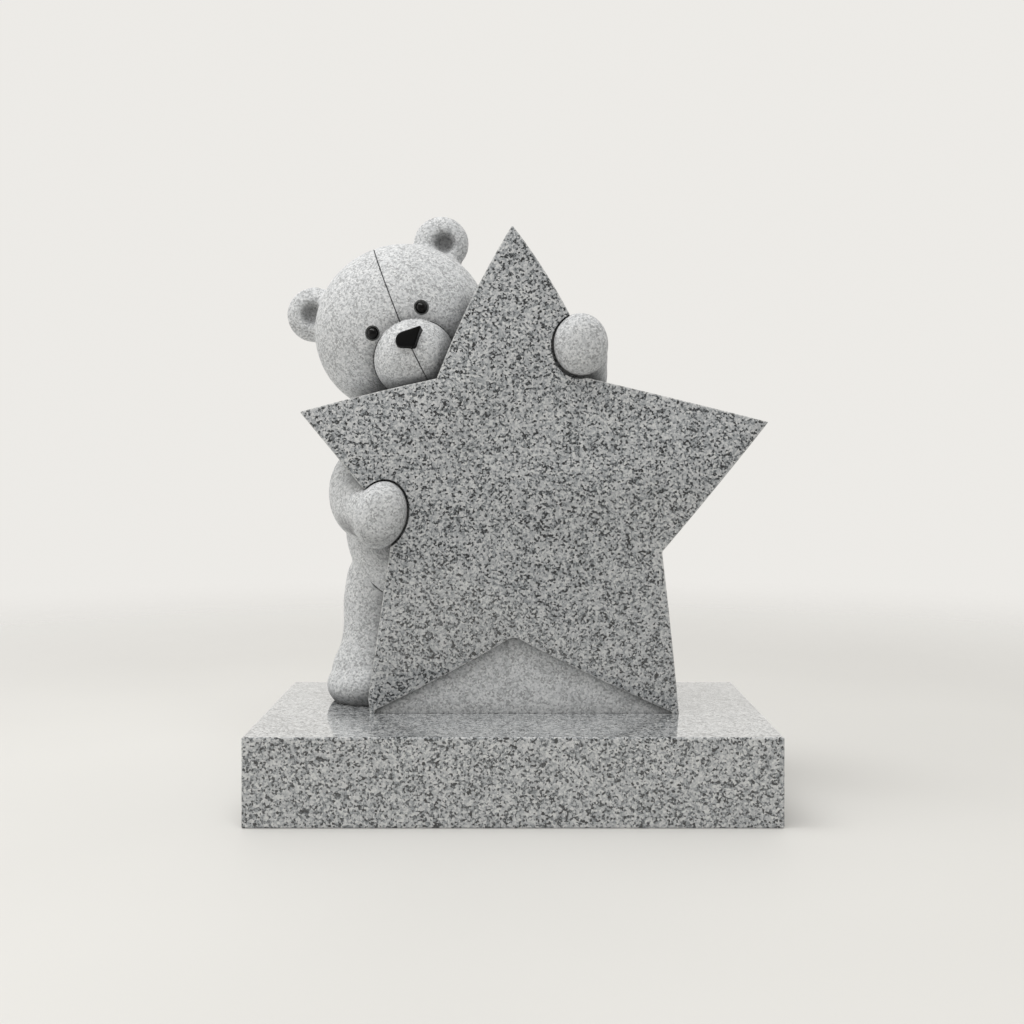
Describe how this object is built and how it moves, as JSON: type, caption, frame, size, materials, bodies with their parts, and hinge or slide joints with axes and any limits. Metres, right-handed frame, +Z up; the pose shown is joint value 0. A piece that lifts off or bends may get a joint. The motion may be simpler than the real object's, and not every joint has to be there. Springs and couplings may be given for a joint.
{
  "type": "teddy bear headstone",
  "caption": "Granite headstone with a teddy bear peeking round an upright star, on a rectangular plinth",
  "frame": {"origin": "Centre of the plinth's underside", "axes": "+Z up, +X to the viewer's right along the plinth's length, +Y away from the viewer; the star's face looks along -Y"},
  "size_m": [0.6173, 0.356, 0.7352],
  "materials": {
    "polished_granite": "polished speckled grey granite",
    "carved_granite": "grey granite, polished on the star's face and rubbed matte on the carving",
    "eye_glass": "glossy black domed glass",
    "nose_black": "black, polished to a mirror gloss"
  },
  "bodies": {
    "root": {"plinth": "polished_granite", "star_and_bear": "carved_granite", "eye_left": "eye_glass", "eye_right": "eye_glass", "nose": "nose_black"}
  },
  "joints": []
}
